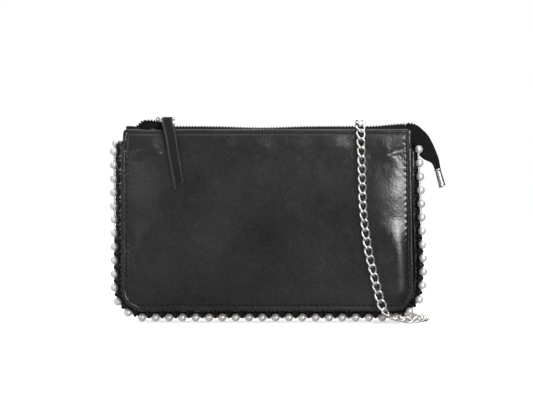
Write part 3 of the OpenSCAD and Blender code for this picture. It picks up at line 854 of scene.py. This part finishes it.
def tape_section():
    """The tape's section as (depth, height): flat on top, then down inside the panel."""
    inner = TOP_Y - .0014
    slope = (HALF_T - TOP_Y) / (PANEL_TOP - LEAN_Z)

    def out(z):
        return inner - .0003 + (PANEL_TOP - z) * slope
    top = TEETH_TOP - TOOTH_H + .0009
    return [(TAPE_IN - .0004, top - .0008), (TAPE_IN - .0003, top - .0001), (TAPE_IN + .0004, top),
            (out(top), top - .0001), (out(.1345), .1345), (out(.130), .130), (out(.1245), .1245),
            (out(.1245) - .0007, .1245), (out(.130) - .0008, .130), (out(.1345) - .0008, .1343),
            (out(top) - .0007, top - .0008)]


def make_tape(name, side, node):
    """The cloth on one side of the zip."""
    section = tape_section()
    xs = np.linspace(-HALF_W + .003, ZIP_RIGHT, 160)
    verts = []
    for x in xs:
        for y, z in section:
            ripple = .00012 * math.sin(x * 900 + z * 300)
            rise = zip_rise(x) * float(smoothstep(.126, .135, z))
            verts.append((x, side * (y + ripple * (y > TAPE_IN)), z + rise))
    tape = add_object(name, verts, tube_faces(len(xs), len(section)), TAPE, smooth=False)
    place(tape, "wallet", "zip_tape", node)


def tooth(centre, along, up, side):
    """One moulded tooth: a block that narrows to a rounded crest, its head towards the middle."""
    height = TOOTH_H / 2
    stations = [(TAPE_IN + .0002, .75, .62), (TAPE_IN - .0003, .95, .9), (.0014, .8, 1.0), (.0010, .82, 1.0),
                (.0007, 1.0, 1.0), (.0005, .92, .92), (TOOTH_TIP, .6, .7)]
    verts = []
    for y, wide, tall in stations:
        for u, v in TOOTH_OUTLINE:
            verts.append(centre + along * u * TOOTH_HALF_W * wide + up * v * height * tall
                         + np.array([0, side * y, 0]))
    return verts, tube_faces(len(stations), len(TOOTH_OUTLINE))


def make_teeth(name, side, shift, node):
    """One row of teeth along the closed zip."""
    teeth = []
    drop = BACK_DROP if side > 0 else 0.0
    x = zip_left + .0009 + shift
    while x < ZIP_RIGHT - .0008:
        centre = np.array([x, 0, TEETH_TOP - TOOTH_H / 2 + zip_rise(x) - drop])
        teeth.append(tooth(centre, np.array([1.0, 0, 0]), np.array([0, 0, 1.0]), side))
        x += TOOTH_PITCH
    place(add_object(name, *merge(teeth), TEETH), "wallet", "zip_teeth", node)


# Where the top edge of each loose tape end runs: x, depth, height
LOOSE_FRONT = [(-.0728, .0050, .1388), (-.0765, .0051, .1397), (-.0805, .0049, .1404), (-.0842, .0041, .1403),
               (-.0868, .0030, .1391), (-.0890, .0022, .1370), (-.0906, .0018, .1352)]
LOOSE_BACK = [(-.0791, .0014, .1356), (-.0809, .0017, .1372), (-.0832, .0023, .1390), (-.0855, .0027, .1401),
              (-.0879, .0026, .1395), (-.0899, .0021, .1378), (-.0915, .0016, .1360), (-.0926, .0014, .1350)]


def make_loose_end(name, side, node, route):
    """The free end of the tape curls up behind the slider with its teeth along the top."""
    curve, _ = resample(spline_points([(x, side * y, z) for x, y, z in route], 10), .0005)
    verts = []
    rows = np.linspace(0, 1, 7)
    for p in curve:
        foot = .1362 if abs(p[1]) > .0044 else .1351 if p[0] < -.0815 else .1358
        for k in rows:
            z = max(p[2] - .0004 - .0058 * k, foot)
            verts.append((p[0], p[1] - side * .0004 * k, z))
    tape = add_object(name + "_tape", verts, grid_faces(len(curve), len(rows)), TAPE)
    thicken(tape, TAPE_T)
    place(tape, "wallet", "zip_tape", node)
    stops, _ = resample(curve, TOOTH_PITCH)
    tangent = np.gradient(stops, axis=0)
    teeth = []
    for p, t in list(zip(stops, tangent))[:-1]:
        t = np.array([t[0], 0, t[2]]) / np.hypot(t[0], t[2])
        up = np.array([-t[2], 0, t[0]])
        if up[2] < 0:
            up = -up
        centre = np.array([p[0], p[1] - side * .0014, p[2]]) - up * .0004
        teeth.append(tooth(centre, t, up, side))
    place(add_object(name + "_teeth", *merge(teeth), TEETH), "wallet", "zip_teeth")


for label, side_y, offset, route in (("front", -1, 0.0, LOOSE_FRONT),
                                     ("back", 1, TOOTH_PITCH / 2, LOOSE_BACK)):
    make_tape("zip_tape_%s_cloth" % label, side_y, "zip_tape_" + label)
    make_teeth("zip_teeth_%s_row" % label, side_y, offset, "zip_teeth_" + label)
    make_loose_end("loose_%s" % label, side_y, "zip_loose_end_" + label, route)

# The zip tail's outer and inner outline: x, height
TAIL_OUTER = [(.0961, .1382), (.100, .1379), (.1045, .1366), (.108, .1338), (.1117, .1299), (.1153, .1236),
              (.1175, .1182), (.1193, .1129), (.1204, .1065)]
TAIL_INNER = [(.0961, .1275), (.0990, .1266), (.1012, .1250), (.1028, .1215), (.1045, .1185), (.1060, .1160),
              (.1093, .1132), (.1147, .1105), (.1170, .1056)]


def tail_middle(x):
    """Depth of the tail's middle: between the panels' ends first, then behind the beads."""
    return .00225 + .00235 * float(smoothstep(.1000, .1048, x))


def make_tail():
    """Two layers of tape folded together, with teeth down the outer edge."""
    outer = spline_points([(x, 0, z) for x, z in TAIL_OUTER], 8)
    inner = spline_points([(x, 0, z) for x, z in TAIL_INNER], 8)
    across = np.linspace(0, 1, 15)
    for layer, offset in (("front", -.00085), ("back", .00085)):
        verts = []
        for i, (a, b) in enumerate(zip(outer, inner)):
            for k in across:
                p = a * (1 - k) + b * k
                wave = .00028 * math.sin(i * .33 + k * 4 + (2 if offset > 0 else 0)) * math.sin(math.pi * k)
                crease = .0003 * math.exp(-((k - .5) / .06) ** 2)
                edge = 1 - .55 * math.exp(-k / .05) - .45 * math.exp(-(1 - k) / .05)
                y = tail_middle(p[0]) + offset * edge + wave - math.copysign(crease, offset)
                verts.append((p[0], y, p[2]))
        sheet = add_object("zip_tail_" + layer, verts, grid_faces(len(outer), len(across)), TAPE)
        thicken(sheet, TAIL_T)
        place(sheet, "wallet", "zip_tape", *(["zip_tail"] if layer == "front" else []))
    edge, _ = resample(outer, TOOTH_PITCH)
    tangent = np.gradient(edge, axis=0)
    ribs = []
    for p, t in list(zip(edge, tangent))[1:-2]:
        t = unit(t)
        out = np.array([t[2], 0, -t[0]])
        if out[0] + out[2] < 0:
            out = -out
        proud = .0008 * (1 - float(smoothstep(.1005, .1065, p[0])))
        centre = np.array([p[0], tail_middle(p[0]), p[2]]) + out * (proud - .0005)
        ribs.append(capsule(centre, np.array([0.0, 1.0, 0.0]), out, .0013, .00065))
    place(add_object("zip_tail_teeth", *merge(ribs), TEETH), "wallet", "zip_teeth")


make_tail()

CAP_TOP = np.array([.1185, .0046, .1066])
CAP_LENGTH = .0136
CAP_SLANT_FROM = .0105         # the foot slants from here down
CAP_TILT = math.radians(16)


def make_end_cap():
    """A metal tube crimped on the tail, with a rolled lip and a slanting foot."""
    down = np.array([math.sin(CAP_TILT), 0, -math.cos(CAP_TILT)])
    profile = [(.0002, .0014), (-.0002, .0019), (.0001, .0024), (.0005, .0025), (.0010, .00245),
               (.0013, .0021), (.0017, .00205), (.0024, .0021), (.0050, .0022), (.0090, .0023),
               (.0118, .00238), (.0124, .0025), (.0129, .0025), (.0134, .00235),
               (CAP_LENGTH - .0006, .0022), (CAP_LENGTH - .0001, .0019), (CAP_LENGTH, .0012)]
    sides = 48
    verts, faces = revolve(profile, CAP_TOP, down, sides)
    for i in range(len(verts)):
        h = profile[i // sides][0]
        if h > CAP_SLANT_FROM:
            reach = np.dot(verts[i] - CAP_TOP, np.array([math.cos(CAP_TILT), 0, math.sin(CAP_TILT)]))
            verts[i] = verts[i] - down * max(0.0, reach + .0025) * .28 * (h - CAP_SLANT_FROM) / .004
    place(add_object("zip_end_cap_shell", verts, faces, SILVER), "wallet", "silver_metal", "zip_end_cap")


make_end_cap()

# ---------------------------------------------------------------- leather pull

BAR = np.array([-.0698, -.0080, .1412])
BAR_TOP_Z = .1394              # above this the strap hangs straight
LOOP_R = .00140
PULL_HALF_W = .00370
PULL_T = .00092
PULL_SLANT = .0044             # the cut ends slant by this much across the width


def pull_path():
    """The strap's line from the foot of its inner layer, over the crossbar and down the outer layer."""
    def middle_x(z):
        lean = max(0.0, BAR_TOP_Z - z) * .1735
        return BAR[0] + lean + .0008 * float(1 - smoothstep(.132, BAR_TOP_Z, z))
    inner = [(-.01435, .0933), (-.0143, .100), (-.0143, .112), (-.01420, .121), (-.01215, .1275),
             (-.0101, .1335), (-.00880, .1375), (-.00760, .1397)]
    loop = [(BAR[1] + LOOP_R * math.sin(a), BAR[2] - LOOP_R * math.cos(a))
            for a in np.radians([35, 70, 110, 150, 190, 230, 262])]
    outer = [(-.01020, .1375), (-.0114, .1340), (-.01335, .1275), (-.01525, .1210), (-.01535, .112),
             (-.01535, .100), (-.0154, .0953)]
    return [(middle_x(z), y, z) for y, z in inner + loop + outer]


def make_pull():
    """The folded leather strap, with bevelled cut edges in lighter leather: a painted edge highlight."""
    line, _ = resample(spline_points(pull_path(), 10), .0007)
    count = len(line)
    tangent = np.gradient(line, axis=0)
    # seen across the strap: a wide bevel at the left, a narrow one at the right, a plain back
    section = [(-1, -.30), (-.62, -.95), (-.57, -.97), (-.52, -1.0), (0, -1.05), (.74, -1.0), (.78, -.97),
               (.82, -.93), (1, -.35), (1, .55), (.96, .92), (.85, 1.0), (-.85, 1.0), (-.96, .92), (-1, .55)]
    verts = []
    loop_at = int(np.argmax(line[:, 2]))
    for i, (p, t) in enumerate(zip(line, tangent)):
        t = unit(t)
        side = np.array([.985, 0, .171]) if abs(i - loop_at) > 8 else np.array([1.0, 0, 0])
        side = unit(side - t * np.dot(side, t))
        normal = np.cross(side, t)
        away = abs(i - loop_at) / max(loop_at, count - loop_at)
        direction = 1 if i > loop_at else -1
        narrow = 1 - (.03 if i < loop_at else 0.0)
        thin = .35 if i in (0, count - 1) else 1.0          # the cut ends are bevelled too
        for u, v in section:
            shift = -direction * PULL_SLANT / 2 * u * float(smoothstep(.55, 1.0, away))
            verts.append(p + side * u * PULL_HALF_W * narrow + normal * v * thin * PULL_T / 2 + t * shift)
    m = len(section)
    edge_cols = {0, 7, 8, 9, m - 2, m - 1}
    pull = add_object("pull_leather_strap", verts, tube_faces(count, m), PULL)
    # the bevels and cut ends take the lighter leather, a painted edge highlight
    pull.data.materials.append(EDGE)
    for k, poly in enumerate(pull.data.polygons):
        if k >= (count - 2) * m or k < m or (k % m) in edge_cols:
            poly.material_index = 1
    place(pull, "pull", "pull_leather", "pull_strap")


make_pull()

# ---------------------------------------------------------------- metal fittings and insides

# The CAD pieces that show as they are: their material and how far their edges are rounded
KEEP = {
    "slider_body": (SILVER, .00025), "slider_crown": (SILVER, .0003), "pull_pin": (SILVER, .00012),
    "pull_bail": (SILVER, .0002), "chain_tie": (TIE, .0002),
    "front_board": (BOARD, 0), "back_board": (BOARD, 0), "front_lining": (LINING, 0),
    "back_lining": (LINING, 0), "gusset_lining": (LINING, 0), "slip_pocket": (LINING, 0),
}
for hand in ("left_", "right_"):
    for part, finish, round_off in (("tab", PULL, .0003), ("rivet", SILVER, .0002), ("ring", SILVER, 0),
                                    ("clasp", SILVER, .0002), ("gate", SILVER, .00015),
                                    ("gate_pin", SILVER, 0), ("jump_ring", CHAIN, 0)):
        KEEP[hand + part] = (finish, round_off)

for node_name, (finish, round_off) in KEEP.items():
    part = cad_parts[node_name]
    part.data.materials.clear()
    part.data.materials.append(finish)
    if round_off:
        bevel = part.modifiers.new("rounded edges", "BEVEL")
        bevel.width = round_off
        bevel.segments = 3
        bevel.limit_method = "ANGLE"
        bevel.angle_limit = math.radians(35)
        bevel.harden_normals = False

# ---------------------------------------------------------------- floor, lights, world


def light(name, location, size, power, aim=(0, 0, .07)):
    """A white panel of light that the camera doesn't see."""
    data = bpy.data.lights.new(name, "AREA")
    data.shape = "RECTANGLE"
    data.size, data.size_y = size
    data.energy = power
    lamp = bpy.data.objects.new(name, data)
    lamp.location = location
    lamp.rotation_mode = "QUATERNION"
    lamp.rotation_quaternion = (Vector(aim) - Vector(location)).to_track_quat("-Z", "Y")
    lamp.visible_camera = False
    bpy.context.collection.objects.link(lamp)


light("right_softbox", (.60, -1.15, .23), (.38, .30), 7.5)
light("right_high", (.40, -.80, .95), (.16, .45), 5.5)
light("rear_fill", (-.4, 1.3, .35), (.9, .6), 3)
light("left_soft", (-.45, -1.15, .2), (.5, .3), .3)
light("left_fill", (-1.2, -.7, .6), (.8, .9), 3.5)
light("top", (0, .1, 1.3), (1.8, 1.2), 9)
light("backdrop", (0, 1.0, 1.0), (1.6, .8), 13, aim=(0, .6, 0))

FLOOR = plastic("floor_paper", (.86, .86, .86), (.9, .9, .9), (.7, .85))
glow = FLOOR.node_tree.nodes["Principled BSDF"].inputs
glow["Emission Color"].default_value = (1, 1, 1, 1)
glow["Emission Strength"].default_value = .40
floor_z = cad_box[0].z - .0001
FLOOR_REACH = 1.2
FLOOR_FRONT = -.46
floor = add_object("floor", [(-FLOOR_REACH, FLOOR_FRONT, floor_z), (FLOOR_REACH, FLOOR_FRONT, floor_z),
                             (FLOOR_REACH, FLOOR_REACH, floor_z), (-FLOOR_REACH, FLOOR_REACH, floor_z)],
                   [(0, 1, 2, 3)], FLOOR, smooth=False)
floor.visible_glossy = False      # the photograph's white is cut out: nothing mirrors it


def studio_world():
    """A pale room, darker towards the right, in front of a white backdrop."""
    world = bpy.data.worlds.new("studio")
    world.use_nodes = True
    tree = world.node_tree
    new, link = tree.nodes.new, tree.links.new
    room = tree.nodes["Background"]
    backdrop = new("ShaderNodeBackground")
    backdrop.inputs["Color"].default_value = (1.0, 1.0, 1.0, 1.0)
    coords = new("ShaderNodeTexCoord")
    dot = new("ShaderNodeVectorMath")
    dot.operation = "DOT_PRODUCT"
    dot.inputs[1].default_value = (.88, .25, -.4)
    ramp = new("ShaderNodeValToRGB")
    stops = ((0.12, (.45, .446, .44, 1.0)), (0.72, (.07, .07, .07, 1.0)))
    for element, (at, colour) in zip(ramp.color_ramp.elements, stops):
        element.position, element.color = at, colour
    path = new("ShaderNodeLightPath")
    mix = new("ShaderNodeMixShader")
    link(coords.outputs["Generated"], dot.inputs[0])
    link(dot.outputs["Value"], ramp.inputs["Fac"])
    link(ramp.outputs["Color"], room.inputs["Color"])
    link(path.outputs["Is Camera Ray"], mix.inputs["Fac"])
    link(room.outputs["Background"], mix.inputs[1])
    link(backdrop.outputs["Background"], mix.inputs[2])
    link(mix.outputs["Shader"], tree.nodes["World Output"].inputs["Surface"])
    bpy.context.scene.world = world


studio_world()
bpy.context.scene.view_settings.view_transform = "Standard"
